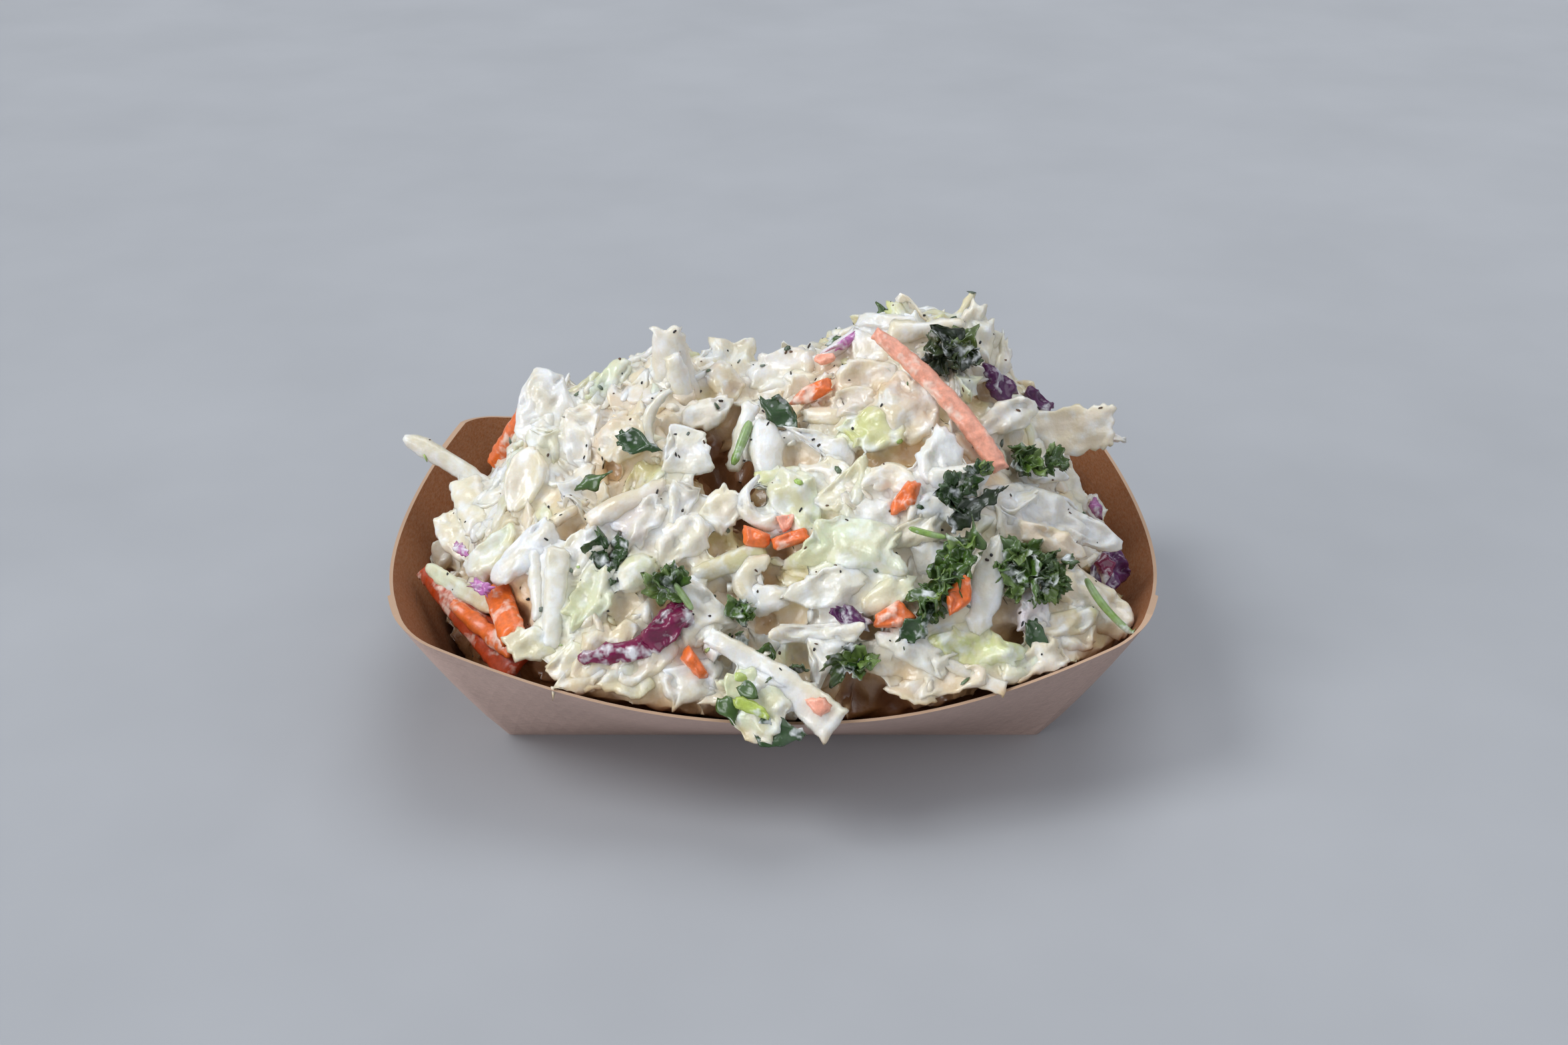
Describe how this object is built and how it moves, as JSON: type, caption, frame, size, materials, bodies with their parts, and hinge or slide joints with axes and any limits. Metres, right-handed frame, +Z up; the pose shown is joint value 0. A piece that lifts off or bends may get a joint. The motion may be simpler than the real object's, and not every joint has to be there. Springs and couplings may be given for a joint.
{
  "type": "coleslaw",
  "caption": "Creamy chopped coleslaw heaped in a small folded kraft paperboard food tray.",
  "frame": {"origin": "middle of the flat underside of the tray", "axes": "+Z up, +X along the tray, -Y towards the long wall that the slaw overhangs"},
  "size_m": [0.1308, 0.0967, 0.068],
  "materials": {
    "kraft_board": "matte uncoated kraft paperboard",
    "dressed_slaw": "moist, creamy dressing over chopped cabbage, soft gloss"
  },
  "bodies": {
    "root": {"paper_tray": "kraft_board", "slaw_heap": "dressed_slaw"}
  },
  "joints": []
}
